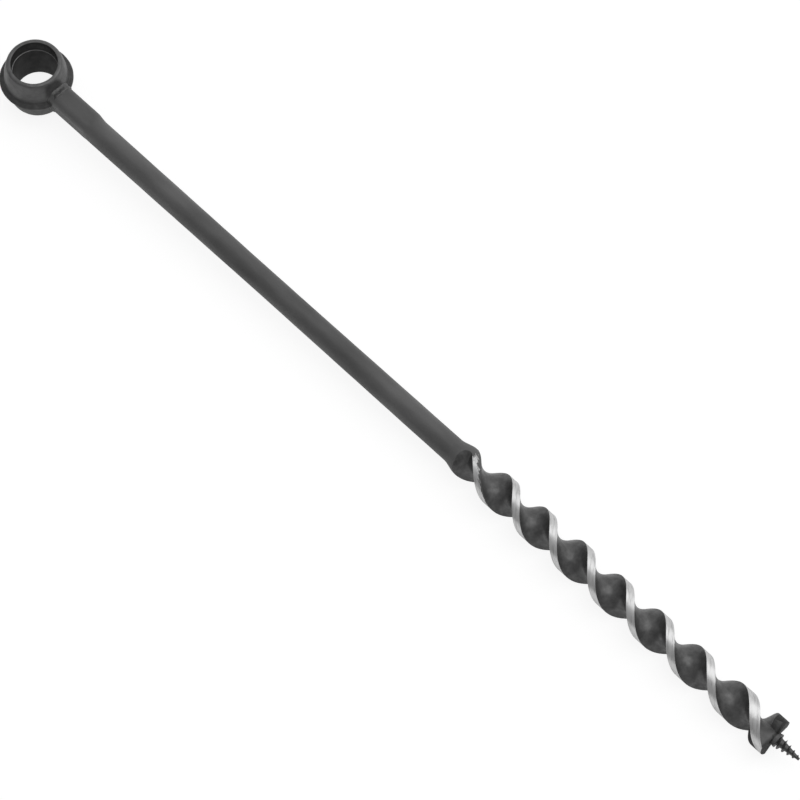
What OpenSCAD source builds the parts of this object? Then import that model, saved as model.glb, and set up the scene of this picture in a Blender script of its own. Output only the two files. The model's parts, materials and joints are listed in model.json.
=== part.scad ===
// Ring auger for timber, driven by a cross handle put through its eye.
// X runs along the tool from the eye to the screw point, Z along the bore of the eye.
// The origin is on the bore's axis, half way up the eye.

/* [Eye] */
// Diameter of the plain bore that takes the cross handle
bore_d = 26; // [22:0.5:29]
// Height of the eye along its bore
eye_h = 32.9; // [28:0.1:38]
// Wall left around the bore at the two rims
rim_wall = 2.7; // [2.4:0.1:4]
// How far the barrel swells past its rims
belly = 2.6; // [1.5:0.1:3.5]
// Depth of the slightly wider recess in the upper end of the bore
recess_depth = 8; // [4:0.5:12]
// Step in radius between the recess and the plain bore
recess_step = 0.4; // [0.2:0.1:0.8]
// Rounding of the rims' outer edges
rim_round = 1.8; // [1:0.1:2]
// Chamfer on the lower mouth of the bore
bore_chamfer = 0.5; // [0.3:0.1:1]
// How far the forging flash stands out of the barrel
flash_reach = 2.8; // [2:0.1:3.6]
// Thickness of the forging flash
flash_t = 2.6; // [1.6:0.1:3.6]
// Fillet between the flash and the barrel
flash_fillet = 1.4; // [0.8:0.1:2]

/* [Shank] */
// From the bore's axis to the foot of the twist
shank_len = 331; // [260:1:400]
// Width across the flats of the squared end at the eye
square_w = 14.3; // [13:0.1:15]
// Corner radius of the squared end
square_corner = 3.6; // [2:0.1:4]
// From the bore's axis to the shoulder of the squared end
square_len = 44.5; // [36:0.5:60]
// Length over which the shoulder comes down to the round bar
shoulder_len = 6; // [4:0.5:10]
// Sideways shift that the forging left on the squared end
square_shift = 0.4; // [0:0.1:0.8]
// Diameter of the round bar behind the shoulder
shank_d_back = 14.8; // [14:0.1:16]
// Diameter of the round bar at its slimmest
shank_d_waist = 14; // [13:0.1:15]
// Diameter of the round bar at the foot of the twist
shank_d_foot = 14.6; // [13:0.1:15.4]
// From the bore's axis to the slimmest place
waist_x = 190; // [120:1:240]

/* [Weld at the eye] */
// Leg of the weld along the shank
weld_leg_x = 3.2; // [2:0.1:4.5]
// Height of the weld over the flats of the shank
weld_leg_r = 1; // [0.6:0.1:1.6]
// Gap at the root of the weld
weld_gap = 0.2; // [0.1:0.05:0.5]

/* [Twist] */
// Length of the twisted bar
twist_len = 223.2; // [160:0.1:280]
// Diameter over the ground lands
twist_d = 20.5; // [20:0.1:23]
// Thickness of the web between the flutes
web_t = 6.2; // [5:0.1:9]
// Width of a land, straight across its two edges
land_w = 6.6; // [5:0.1:9]
// Advance of one full turn where the twist begins
lead_foot = 53.8; // [44:0.1:70]
// Advance of one full turn at the cutting head
lead_head = 60.4; // [44:0.1:70]
// Diameter of the shoulder that the round bar flares out to
shoulder_d = 18.2; // [16:0.1:19.6]
// Length of the flare from the round bar to the shoulder
flare_len = 9.5; // [8:0.5:16]
// Length over which the lands rise from the shoulder to their full diameter
land_rise = 30; // [16:1:36]
// Length of round bar before the flutes begin to cut in
flute_start = 2.7; // [1:0.1:5]
// Length over which the flutes run in to full depth
flute_runout = 11.5; // [8:0.5:20]
// Diameter over the lands where they meet the cutting head
swell_d = 21.3; // [20.6:0.1:22]
// Width of a land there
swell_land_w = 8.4; // [6.8:0.1:10]
// Length over which the lands swell towards the head
swell_len = 25; // [16:1:32]

/* [Cutting head] */
// Diameter over the two cutting wings
head_d = 22.4; // [21.4:0.1:25]
// Length of the head from the end of the twist to the lips
head_len = 14.4; // [12:0.1:20]
// Length over which the wings grow out of the twist
wing_rise = 6.6; // [4:0.1:9]
// Place along the head where each wing steps out ahead of its land
ear_start = 7.2; // [6.6:0.1:9]
// Length over which that step rises
ear_rise = 1.2; // [0.8:0.1:2]
// How far the lips step back from the centre boss
boss_lead = 1.9; // [0.6:0.1:2.2]
// Diameter of the boss that carries the lead screw
boss_d = 8.6; // [8:0.1:9.4]
// Length over which the boss swells out of the web
boss_run = 3; // [2:0.1:6]
// How far a wing's front face falls back from its cutting lip to its trailing edge
lip_relief = 0.8; // [0.4:0.1:2]
// Length of the bevel that is filed behind each lip
bevel_len = 0.8; // [0.6:0.1:2]
// Depth of that bevel at the lip
bevel_t = 1; // [0.6:0.1:1.4]

/* [Lead screw] */
// Length of the screw in front of the head
screw_len = 14.6; // [10:0.1:20]
// Diameter over the thread at the head
screw_d = 9; // [8:0.1:10.4]
// Diameter over the thread at the point
screw_tip_d = 2.6; // [2:0.1:4]
// Depth of the thread at the head
thread_depth = 1.9; // [1:0.1:2.2]
// Advance of the thread for one turn
thread_pitch = 3.2; // [2.4:0.1:4]
// Diameter of the spigot that seats in the head
spigot_d = 5; // [4:0.1:5.6]
// Length of the spigot
spigot_len = 7; // [4:0.1:9]
// Running clearance around the spigot
spigot_gap = 0.05; // [0.02:0.01:0.1]

/* [Hidden] */

// Cuts run past the faces that they open by this much
overrun = 1;
// Circles are drawn with this many sides in a preview
smooth = 96;

// Places along the tool
twist_x = shank_len;
head_x = twist_x + twist_len;
lip_x = head_x + head_len;
boss_x = lip_x + boss_lead;
// Where the ear is full, along the head
ear_end = ear_start + ear_rise;

// The eye
bore_r = bore_d / 2;
recess_r = bore_r + recess_step;
rim_r = bore_r + rim_wall;
belly_r = rim_r + belly;
flash_r = belly_r + flash_reach;
// Radius of the arc that swells from rim to rim, and where its centre lies
barrel_arc = (pow(eye_h / 2, 2) + pow(belly, 2)) / (2 * belly);
barrel_centre = belly_r - barrel_arc;

// Angle of the wings about the tool's axis where the twist begins, from +Y towards +Z
foot_angle = 136;
// The first turn begins this far ahead and falls back to the even twist over this share of it
foot_advance = 20;
settle_share = 0.8;
// The twist falls this far behind where it swells towards the head
head_lag = 8;
// How much further a land reaches ahead on the wings, as an angle about the tool's axis, where they
// have grown, what the ear adds to that, and what is left of both at the lips
wing_sweep = 32;
ear_sweep = 44;
lip_sweep = 25;
// How far to the side of the tool's axis the flanks stand on the web: where the wings begin, and then
// a leading and a trailing flank
foot_least = 0.25;
foot_lead = 1.4;
foot_trail = 2.6;
// The crown of the weld bulges by this share of its height
crown_share = 0.25;
// A thread's flanks reach this share of its pitch to each side of the crest, and hollow by this power
flank_share = 0.22;
flank_power = 1.5;
// The thread grows and dies out over this share of a turn
thread_fade_share = 0.5;

// Steps along the eye's small arcs and along its barrel
arc_steps = 5;
barrel_steps = 8;
// Facets of the twisted pieces
steps_per_turn = 30;
foot_steps = 12;
head_steps = 6;
land_steps = 4;
flute_steps = 8;
wing_land_steps = 8;
flank_steps = 4;
ear_steps = 3;
thread_steps = 12;

function mix(a, b, t) = a + (b - a) * t;
function clamp01(t) = min(1, max(0, t));
function ease(t) = let(c = clamp01(t)) c * c * (3 - 2 * c);

// Radius of the barrel's outside at a height
function barrel_at(z) = barrel_centre + sqrt(barrel_arc * barrel_arc - z * z);

// Points along an arc about a centre
function arc(centre, r, from, to, steps) =
    [for (i = [0:steps]) let(a = mix(from, to, i / steps)) centre + r * [cos(a), sin(a)]];

// Upper half of the eye's outline, from the tip of the flash to the rim, grown by a gap
function eye_outline(grow) =
    let(
        tip_r = flash_t / 2,
        fillet_z = tip_r + flash_fillet,
        fillet_x = barrel_centre + sqrt(pow(barrel_arc + flash_fillet, 2) - fillet_z * fillet_z),
        fillet_angle = atan2(fillet_z, fillet_x - barrel_centre),
        round_z = eye_h / 2 - rim_round,
        round_x = barrel_centre + sqrt(pow(barrel_arc - rim_round, 2) - round_z * round_z),
        round_angle = atan2(round_z, round_x - barrel_centre)
    )
    concat(
        arc([flash_r - tip_r, 0], tip_r + grow, 0, 90, arc_steps),
        arc([fillet_x, fillet_z], flash_fillet - grow, 270, 180 + fillet_angle, arc_steps),
        arc([barrel_centre, 0], barrel_arc + grow, fillet_angle, round_angle, barrel_steps),
        arc([round_x, round_z], rim_round + grow, round_angle, 90, arc_steps)
    );

// The eye's outside as a solid of revolution, with the bore still filled
module eye_blank(grow = 0) {
    upper = eye_outline(grow);
    lower = [for (i = [len(upper) - 1:-1:1]) [upper[i][0], -upper[i][1]]];
    half = eye_h / 2 + grow;
    rotate_extrude($fn = smooth * 2)
        polygon(concat([[0, -half]], lower, upper, [[0, half]]));
}

// The bore with its wider recess above and its chamfer below, as the space to cut away
module eye_bore() {
    cylinder(r = bore_r, h = eye_h + 2 * overrun, center = true, $fn = smooth);
    translate([0, 0, eye_h / 2 - recess_depth])
        cylinder(r = recess_r, h = recess_depth + overrun, $fn = smooth);
    translate([0, 0, -eye_h / 2 - overrun])
        cylinder(r1 = bore_r + bore_chamfer + overrun, r2 = bore_r,
            h = bore_chamfer + overrun, $fn = smooth);
}

module eye() {
    color("#565658")
        difference() {
            eye_blank();
            eye_bore();
        }
}

// A square bar along X with rounded edges, between two places along the tool
module square_bar(from, to, width, corner) {
    core = width - 2 * corner;
    translate([from, 0, 0]) rotate([0, 90, 0]) {
        translate([-width / 2, -core / 2, 0]) cube([width, core, to - from]);
        translate([-core / 2, -width / 2, 0]) cube([core, width, to - from]);
        for (a = [-1, 1], b = [-1, 1])
            translate([a * core / 2, b * core / 2, 0])
                cylinder(r = corner, h = to - from, $fn = smooth);
    }
}

// A round bar along X that tapers between two places
module round_bar(from, to, d_from, d_to) {
    translate([from, 0, 0]) rotate([0, 90, 0])
        cylinder(d1 = d_from, d2 = d_to, h = to - from, $fn = smooth);
}

// The squared end reaches the eye, and a shoulder brings it down to the round bar
module shank_bar() {
    corner_d = square_w * sqrt(2);
    shoulder_end = square_len + shoulder_len;
    intersection() {
        translate([0, square_shift, 0]) square_bar(bore_r, shoulder_end, square_w, square_corner);
        union() {
            round_bar(0, square_len, corner_d, corner_d);
            round_bar(square_len, shoulder_end, corner_d, shank_d_back - square_corner);
        }
    }
    round_bar(square_len - shoulder_len, shoulder_end, square_w - square_corner, shank_d_back);
    round_bar(shoulder_end, waist_x, shank_d_back, shank_d_waist);
    round_bar(waist_x, shank_len, shank_d_waist, shank_d_foot);
}

module shank() {
    color("#4a4a4c")
        difference() {
            shank_bar();
            eye_blank(weld_gap);
        }
}

// The weld is a bead all round the squared end, thick at the eye and fading along the shank
module eye_weld() {
    top = square_w / 2 + weld_leg_r;
    back = barrel_at(top) - weld_leg_r;
    toe = barrel_at(square_w / 2) + weld_leg_x;
    crown = weld_leg_r * crown_share;
    mid = (back + weld_leg_r + toe) / 2;
    outline = [
        [bore_r + rim_wall, 0],
        [bore_r + rim_wall, top],
        [back + weld_leg_r, top],
        [mid, (top + square_w / 2) / 2 + crown],
        [toe, square_w / 2],
        [toe, 0]
    ];
    mirrored = [for (i = [len(outline) - 1:-1:0]) [outline[i][0], -outline[i][1]]];
    reach = square_w + weld_leg_r;
    color("#6a6a6c")
        difference() {
            translate([0, square_shift, 0])
                intersection() {
                    translate([0, reach, 0]) rotate([90, 0, 0])
                        linear_extrude(2 * reach) polygon(concat(outline, mirrored));
                    translate([0, 0, -reach])
                        linear_extrude(2 * reach) polygon(concat(outline, mirrored));
                    square_bar(0, toe + overrun, 2 * top, square_corner + weld_leg_r);
                }
            eye_blank();
            translate([0, square_shift, 0])
                square_bar(0, toe + overrun, square_w, square_corner);
        }
}

// Turns of the twist from its foot to a place along the tool, as the lead opens out
function twist_angle(x) =
    let(u = x - twist_x)
    foot_angle + foot_advance * (1 - ease(u / lead_foot / settle_share)) - head_lag * swell(u)
        + 360 * (u / lead_foot + u * u * (1 / lead_head - 1 / lead_foot) / (2 * twist_len));

// How far the swelling towards the head has come at a distance along the twist
function swell(u) = ease((u - twist_len + swell_len) / swell_len);

// One ring of a fluted bar at x: two land arcs of radius r, joined by two flute faces.
// edge is half the thickness at the lands, mid is half the thickness of the web. The faces are
// hollow.
function fluted_ring(x, r, edge, mid, angle) =
    let(
        corner = min(asin(min(1, edge / r)), 90 * land_steps / (land_steps + flute_steps)),
        u_max = r * cos(corner),
        land = [for (k = [0:land_steps])
            let(a = mix(-corner, corner, k / land_steps)) [r * cos(a), r * sin(a)]],
        flute = [for (k = [1:flute_steps - 1])
            let(share = 1 - 2 * k / flute_steps, u = u_max * share)
            [u, min(sqrt(r * r - u * u), mid + (edge - mid) * share * share)]]
    )
    turned_twice(x, concat(land, flute), angle);

// Half a ring and its copy on the other side of the axis, turned by an angle and set at x
function turned_twice(x, half, angle) =
    [for (side = [1, -1], p = half)
        [x, side * (p[0] * cos(angle) - p[1] * sin(angle)), side * (p[0] * sin(angle) + p[1] * cos(angle))]];

// A closed skin over rings that follow each other along X
module ringed_solid(rings) {
    n = len(rings[0]);
    m = len(rings);
    first = [rings[0][0][0], 0, 0];
    last = [rings[m - 1][0][0], 0, 0];
    points = concat([for (ring = rings) each ring], [first, last]);
    sides = [for (i = [0:m - 2], j = [0:n - 1])
        let(a = i * n + j, b = i * n + (j + 1) % n)
        each [[a, a + n, b + n], [a, b + n, b]]];
    start_cap = [for (j = [0:n - 1]) [m * n, j, (j + 1) % n]];
    end_cap = [for (j = [0:n - 1]) [m * n + 1, (m - 1) * n + (j + 1) % n, (m - 1) * n + j]];
    polyhedron(points = points, faces = concat(sides, start_cap, end_cap));
}

// The round foot flares out to the lands while the flutes cut in
module twist() {
    foot_len = flute_start + flute_runout;
    flute_stations = ceil((twist_len - foot_len) * steps_per_turn / lead_foot);
    stations = concat(
        [for (i = [0:foot_steps - 1]) foot_len * i / foot_steps],
        [for (i = [0:flute_stations]) mix(foot_len, twist_len, i / flute_stations)]
    );
    color("#77777a")
        ringed_solid([for (u = stations)
            let(
                flare = ease(u / flare_len) * (shoulder_d - shank_d_foot),
                rise = ease((u - flare_len / 2) / land_rise) * (twist_d - shoulder_d),
                r = (shank_d_foot + flare + rise + swell(u) * (swell_d - twist_d)) / 2,
                left = 1 - clamp01((u - flute_start) / flute_runout),
                cut = 1 - left * left,
                land = mix(land_w, swell_land_w, swell(u))
            )
            fluted_ring(twist_x + u, r, mix(shank_d_foot, land, cut) / 2,
                mix(shank_d_foot, web_t, cut) / 2, twist_angle(twist_x + u))]);
}

// How far a land reaches ahead at u along the head: it grows, steps out into the ear and fades
function wing_ahead(u) =
    let(grown = wing_sweep * ease(u / wing_rise) + ear_sweep * ease((u - ear_start) / ear_rise))
    mix(grown, lip_sweep, clamp01((u - ear_end) / (head_len - ear_end)));

// Radius of the wings, and half the angle that a wing's ground land covers
function wing_r(u) = mix(swell_d, head_d, ease(u / wing_rise)) / 2;
function wing_land(u) = asin(swell_land_w / 2 / wing_r(u));

// The corner where a wing's land meets its leading flank, and the foot of that flank on the web
function lead_corner(u) = let(a = wing_land(u) + wing_ahead(u)) wing_r(u) * [cos(a), sin(a)];
function lead_foot(u) = [mix(foot_least, foot_lead, ease(u / wing_rise)), web_t / 2];
// The corner and the foot of the other wing's trailing flank, across the flute
function trail_corner(u) = wing_r(u) * [-cos(wing_land(u)), sin(wing_land(u))];
function trail_foot(u) = [-mix(foot_least, foot_trail, ease(u / wing_rise)), web_t / 2];

// A point on a flank, part of the way up from its foot, which is hollow at first and straight later
function flank(foot, corner, share, power) =
    [mix(foot[0], corner[0], share), mix(foot[1], corner[1], pow(share, power))];

// One ring of the wings at u along the head
function wing_ring(u) =
    let(
        power = 2 - ease(u / wing_rise),
        land = [for (k = [0:wing_land_steps - 1])
            let(a = mix(-wing_land(u), wing_land(u) + wing_ahead(u), k / wing_land_steps))
            wing_r(u) * [cos(a), sin(a)]],
        leading = [for (k = [0:flank_steps])
            flank(lead_foot(u), lead_corner(u), 1 - k / flank_steps, power)],
        trailing = [for (k = [0:flank_steps - 1])
            flank(trail_foot(u), trail_corner(u), k / flank_steps, power)]
    )
    turned_twice(head_x + u, concat(land, leading, trailing), twist_angle(head_x + u));

// Each wing grows wider ahead of its land, so that its lip leads the turn
module wings() {
    stations = concat(
        [for (i = [0:head_steps]) ear_start * i / head_steps],
        [for (i = [1:ear_steps]) ear_start + ear_rise * i / ear_steps],
        [for (i = [1:head_steps]) mix(ear_end, head_len, i / head_steps)]
    );
    ringed_solid([for (u = stations) wing_ring(u)]);
}

// What is filed off one wing: its front falls back from the lip, and a bevel thins the lip itself
module lip_cuts() {
    corner = lead_corner(head_len);
    foot = lead_foot(head_len);
    flank_angle = atan2(corner[1] - foot[1], corner[0] - foot[0]);
    fall = atan2(lip_relief, corner[1] + trail_corner(head_len)[1]);
    translate([lip_x, 0, 0]) rotate([twist_angle(lip_x), 0, 0]) {
        translate([0, 0, corner[1]]) rotate([0, fall, 0])
            translate([0, 0, -head_d]) cube([head_d, head_d, 2 * head_d]);
        translate([0, foot[0], foot[1]]) rotate([flank_angle, 0, 0])
            translate([0, 0, -bevel_t]) rotate([0, atan2(bevel_t, bevel_len), 0])
                translate([-head_d / 2, 0, 0]) cube([head_d, head_d, head_d]);
    }
}

module cutting_head() {
    color("#5c5c5e")
        difference() {
            union() {
                difference() {
                    wings();
                    lip_cuts();
                    rotate([180, 0, 0]) lip_cuts();
                }
                round_bar(lip_x - boss_run, boss_x, web_t - 2 * spigot_gap, boss_d);
            }
            round_bar(boss_x - spigot_len, boss_x + overrun, spigot_d + 2 * spigot_gap,
                spigot_d + 2 * spigot_gap);
        }
}

// Height of the thread at a phase in turns: a thin crest that falls to a wide root
function thread_rise(phase) =
    let(off = abs(phase - round(phase)))
    pow(max(0, 1 - off / flank_share), flank_power);

module lead_screw() {
    count = round(screw_len / thread_pitch * thread_steps);
    color("#444446") {
        ringed_solid([for (i = [0:count])
            let(
                x = boss_x + screw_len * i / count,
                share = i / count,
                outer = mix(screw_d, screw_tip_d, share) / 2,
                depth = thread_depth * mix(1, screw_tip_d / screw_d, share),
                fade = min(1, min(i, count - i) / thread_steps / thread_fade_share)
            )
            [for (j = [0:thread_steps - 1])
                let(
                    a = 360 * j / thread_steps,
                    r = outer - depth + depth * fade * thread_rise((i - j) / thread_steps)
                ) [x, r * cos(a), r * sin(a)]]]);
        round_bar(boss_x - spigot_len, boss_x + thread_pitch / thread_steps, spigot_d, spigot_d);
    }
}

eye();
eye_weld();
shank();
twist();
cutting_head();
lead_screw();
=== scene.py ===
# %% [markdown]
# # A ring auger in blackened steel
# The tool is a long forged auger for boring timber: an eye that takes a cross handle, a plain bar,
# a double twist with two bright ground lands, a filed cutting head and a screw point. The CAD frame
# holds its true sizes. This script dresses that frame: each piece is modelled again with the marks
# of forging, welding, grinding and filing, and gets steels of its own.

# %% Load the frame
import json
import math

import bpy
from mathutils import Matrix, Vector


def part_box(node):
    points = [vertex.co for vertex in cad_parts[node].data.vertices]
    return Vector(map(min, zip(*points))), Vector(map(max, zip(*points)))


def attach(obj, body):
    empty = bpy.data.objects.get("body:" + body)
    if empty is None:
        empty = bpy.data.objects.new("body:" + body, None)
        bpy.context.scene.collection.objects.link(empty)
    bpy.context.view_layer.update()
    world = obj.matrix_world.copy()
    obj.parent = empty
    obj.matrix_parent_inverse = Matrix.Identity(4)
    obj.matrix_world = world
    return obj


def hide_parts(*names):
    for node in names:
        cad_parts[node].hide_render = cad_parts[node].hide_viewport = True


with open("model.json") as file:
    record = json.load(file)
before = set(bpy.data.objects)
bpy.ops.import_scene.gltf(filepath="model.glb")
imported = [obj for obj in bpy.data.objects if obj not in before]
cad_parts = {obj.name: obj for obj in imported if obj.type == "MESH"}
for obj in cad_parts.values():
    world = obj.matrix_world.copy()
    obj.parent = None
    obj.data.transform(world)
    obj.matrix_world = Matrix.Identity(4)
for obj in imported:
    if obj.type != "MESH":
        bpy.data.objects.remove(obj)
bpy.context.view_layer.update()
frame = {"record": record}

# %% [markdown]
# ## Sizes
# Blender works in metres and a toolmaker in millimetres, so every size is written as a number of
# millimetres times MM. The sizes that other pieces depend on are read from the frame.

# %% Real sizes, read from the frame
MM = 0.001
eye_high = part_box("eye")[1]
twist_low, twist_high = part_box("twist")
head_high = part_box("cutting_head")[1]
screw_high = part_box("lead_screw")[1]
mounts = {mount["name"]: mount for mount in frame["record"]["mounts"]}
BORE_R = mounts["eye_bore"]["dims"]["r_mm"] * MM
EYE_HALF = eye_high.z
FLASH_R = eye_high.y
TWIST_X = twist_low.x
HEAD_X = twist_high.x
BOSS_X = head_high.x
TIP_X = screw_high.x
HEAD_R = head_high.y
print("bore radius", BORE_R, "flash radius", round(FLASH_R, 4))
print("twist from", round(TWIST_X, 4), "to", round(HEAD_X, 4), "point at", round(TIP_X, 4))

# %% [markdown]
# ## Small helpers
# Blender's operators act on whatever is selected, so each piece starts with nothing selected.
# Selections are made by place: a rule on a vertex's coordinates says which ones an operator moves.

# %% Selection helpers


def deselect():
    if bpy.context.mode != "OBJECT":
        bpy.ops.object.mode_set(mode="OBJECT")
    bpy.ops.object.select_all(action="DESELECT")


def activate(piece):
    deselect()
    piece.select_set(True)
    bpy.context.view_layer.objects.active = piece


def select_points(piece, rule):
    """In edit mode, selects the vertices whose place fits the rule, and no others."""
    bpy.ops.object.mode_set(mode="OBJECT")
    mesh = piece.data
    for face in mesh.polygons:
        face.select = False
    for edge in mesh.edges:
        edge.select = False
    for point in mesh.vertices:
        point.select = bool(rule(point.co))
    bpy.ops.object.mode_set(mode="EDIT")
    bpy.ops.mesh.select_mode(type="VERT")


# %% Modelling helpers
TINY = 0.01 * MM


def modify(piece, kind, **settings):
    """Adds a modifier with its settings and applies it."""
    activate(piece)
    modifier = piece.modifiers.new(kind.lower(), kind)
    for name, value in settings.items():
        setattr(modifier, name, value)
    bpy.ops.object.modifier_apply(modifier=modifier.name)


def dip(piece, place, move, reach):
    """Moves the surface nearest a place, and what is within reach follows it less and less."""
    activate(piece)
    bpy.ops.object.mode_set(mode="EDIT")
    place = Vector(place)
    nearest = min((v.co - place).length for v in piece.data.vertices)
    select_points(piece, lambda co: (co - place).length < nearest + TINY)
    bpy.ops.transform.translate(value=move, use_proportional_edit=True, proportional_edit_falloff="SMOOTH",
                                proportional_size=reach)
    bpy.ops.object.mode_set(mode="OBJECT")


def roughen(piece, size, depth, **settings):
    """Displaces a skin by soft clouds of a size, a little out and a little in."""
    clouds = bpy.data.textures.new(piece.name + "_skin", "CLOUDS")
    clouds.noise_scale = size
    modify(piece, "DISPLACE", texture=clouds, texture_coords="LOCAL", strength=depth,
           mid_level=0.5, **settings)


def dress(piece, *materials):
    """Gives a piece its materials, in the order of the slots that its faces name."""
    for material in materials:
        piece.data.materials.append(material)


def finish_piece(piece, node, smooth_angle):
    """Sets a piece on the tool: shading, the root body, and the CAD node it stands for, which it hides."""
    activate(piece)
    bpy.ops.object.transform_apply(location=True, rotation=True, scale=True)
    bpy.ops.object.shade_smooth_by_angle(angle=math.radians(smooth_angle))
    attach(piece, "root")
    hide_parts(node)
    size = [round(side / MM, 1) for side in piece.dimensions]
    print(piece.name, "faces", len(piece.data.polygons), "size mm", size)


# %% Number helpers


def mix(a, b, t):
    return a + (b - a) * t


def ease(t):
    """Goes from 0 to 1 as t does, with a soft start and a soft end."""
    t = min(1.0, max(0.0, t))
    return t * t * (3 - 2 * t)


# %% [markdown]
# ## Colours and nodes
# A web colour is written for the eye, and Blender mixes light in linear values, so one function
# turns a hex colour to linear. Another adds a node, sets it up and links it, which keeps each
# material short enough to read. A Mix node has sockets for every kind of value. Its two colours
# come in at sockets 6 and 7, and the mixed colour leaves at socket 2.

# %% Colour and node helpers
FIRST_COLOUR, SECOND_COLOUR = 6, 7
MIXED_COLOUR = 2


def linear(hex_colour):
    """A hex colour such as #5A5A5C as linear RGBA."""
    parts = [int(hex_colour[i:i + 2], 16) / 255 for i in (1, 3, 5)]
    return tuple(p / 12.92 if p <= 0.04045 else ((p + 0.055) / 1.055) ** 2.4 for p in parts) + (1.0,)


def add_node(tree, kind, settings=None, inputs=None, links=None):
    """Adds a node. settings are its own options, inputs its values, links where inputs come from."""
    made = tree.nodes.new(kind)
    for name, value in (settings or {}).items():
        setattr(made, name, value)
    for name, value in (inputs or {}).items():
        made.inputs[name].default_value = value
    for name, source in (links or {}).items():
        tree.links.new(source, made.inputs[name])
    return made


def new_material(name):
    """A new material, with its node tree and its Principled shader."""
    material = bpy.data.materials.new(name)
    material.use_nodes = True
    return material, material.node_tree, material.node_tree.nodes["Principled BSDF"]


def spots(tree, place, size, detail, stretch=(1, 1, 1), roughness=0.5):
    """A pattern of soft spots about size metres across, drawn out along some axes by stretch."""
    scaled = add_node(tree, "ShaderNodeMapping", inputs={"Scale": [s / size for s in stretch]},
                      links={"Vector": place})
    pattern = add_node(tree, "ShaderNodeTexNoise",
                       inputs={"Scale": 1.0, "Detail": detail, "Roughness": roughness},
                       links={"Vector": scaled.outputs["Vector"]})
    return pattern.outputs["Fac"]


# %% [markdown]
# ## Scale-blackened steel
# Hot steel grows a dark oxide, and the eye, the weld, the bar and the head keep it under a film of
# oil. Oxide isn't a bare metal: it is a dark, slightly glossy layer, so the shader is a dielectric,
# and a high IOR stands for the oily shine. One function makes all these steels. The tone drifts in
# soft clouds a few millimetres wide, the lighter places are a little glossier, and pits break up
# the shine.

# %% Scale-blackened steel
# Real pits are about 0.1 mm wide. They are drawn coarser here, so that they show at all.
PIT = 0.6 * MM
PIT_DEPTH = 0.02 * MM
GLOSS_DRIFT = 0.05


def blackened_steel(name, dark, light, roughness, cloud, ior=1.5, metallic=0.0, stretch=(1, 1, 1)):
    material, tree, shader = new_material(name)
    place = add_node(tree, "ShaderNodeTexCoord").outputs["Object"]
    clouds = spots(tree, place, cloud, detail=4, stretch=stretch)
    share = add_node(tree, "ShaderNodeMapRange", inputs={"From Min": 0.3, "From Max": 0.72},
                     links={"Value": clouds})
    colour = add_node(tree, "ShaderNodeMix", {"data_type": "RGBA"},
                      {FIRST_COLOUR: linear(dark), SECOND_COLOUR: linear(light)},
                      {"Factor": share.outputs["Result"]})
    gloss = add_node(tree, "ShaderNodeMapRange",
                     inputs={"From Min": 0.3, "From Max": 0.7,
                             "To Min": roughness + GLOSS_DRIFT, "To Max": roughness - GLOSS_DRIFT},
                     links={"Value": clouds})
    pitted = add_node(tree, "ShaderNodeBump", inputs={"Distance": PIT_DEPTH},
                      links={"Height": spots(tree, place, PIT, detail=2)})
    tree.links.new(colour.outputs[MIXED_COLOUR], shader.inputs["Base Color"])
    tree.links.new(gloss.outputs["Result"], shader.inputs["Roughness"])
    tree.links.new(pitted.outputs["Normal"], shader.inputs["Normal"])
    shader.inputs["IOR"].default_value = ior
    shader.inputs["Metallic"].default_value = metallic
    return material


# %% [markdown]
# ## Ground steel
# The lands are bright because the finished twist was turned under a grinding wheel, which took
# them all to one diameter. What is left is bare steel, a true metal, so the shader is fully
# metallic. Its fine scratches run along the lands. Noise that changes quickly across a land and
# slowly along it draws them. For that the pattern has to follow the twist: the angle round the
# axis, turned into millimetres by the lead, is added to the place along the tool.

# %% Ground steel
# Real scratches are finer than 0.1 mm. They are drawn coarser here, so that they show at all.
SCRATCH = 0.35 * MM
SCRATCH_DEPTH = 0.02 * MM
PATCH = 1.6 * MM
MEAN_LEAD = 57 * MM


def along_land(tree):
    """Coordinates that follow the twist: x runs across a land and y along it."""
    place = add_node(tree, "ShaderNodeTexCoord").outputs["Object"]
    parts = add_node(tree, "ShaderNodeSeparateXYZ", links={"Vector": place})
    # the seam of this angle lies on the tool's lower side
    angle = add_node(tree, "ShaderNodeMath", {"operation": "ARCTAN2"},
                     links={0: parts.outputs["Y"], 1: parts.outputs["Z"]})
    across = add_node(tree, "ShaderNodeMath", {"operation": "MULTIPLY_ADD"}, {1: MEAN_LEAD / (2 * math.pi)},
                      {0: angle.outputs[0], 2: parts.outputs["X"]})
    both = add_node(tree, "ShaderNodeCombineXYZ", links={"X": across.outputs[0], "Y": parts.outputs["X"]})
    return both.outputs["Vector"]


def ground_steel(name, dark, light, smooth, rough):
    material, tree, shader = new_material(name)
    place = along_land(tree)
    scratches = spots(tree, place, SCRATCH, detail=2, stretch=(1, 0.06, 1))
    patches = spots(tree, place, PATCH, detail=4, stretch=(1, 0.3, 1), roughness=0.6)
    share = add_node(tree, "ShaderNodeMapRange", inputs={"From Min": 0.3, "From Max": 0.52},
                     links={"Value": patches})
    colour = add_node(tree, "ShaderNodeMix", {"data_type": "RGBA"},
                      {FIRST_COLOUR: linear(dark), SECOND_COLOUR: linear(light)},
                      {"Factor": share.outputs["Result"]})
    gloss = add_node(tree, "ShaderNodeMapRange",
                     inputs={"From Min": 0.3, "From Max": 0.7, "To Min": smooth, "To Max": rough},
                     links={"Value": scratches})
    scored = add_node(tree, "ShaderNodeBump", inputs={"Distance": SCRATCH_DEPTH},
                      links={"Height": scratches})
    tree.links.new(colour.outputs[MIXED_COLOUR], shader.inputs["Base Color"])
    tree.links.new(gloss.outputs["Result"], shader.inputs["Roughness"])
    tree.links.new(scored.outputs["Normal"], shader.inputs["Normal"])
    shader.inputs["Metallic"].default_value = 1.0
    return material


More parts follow.
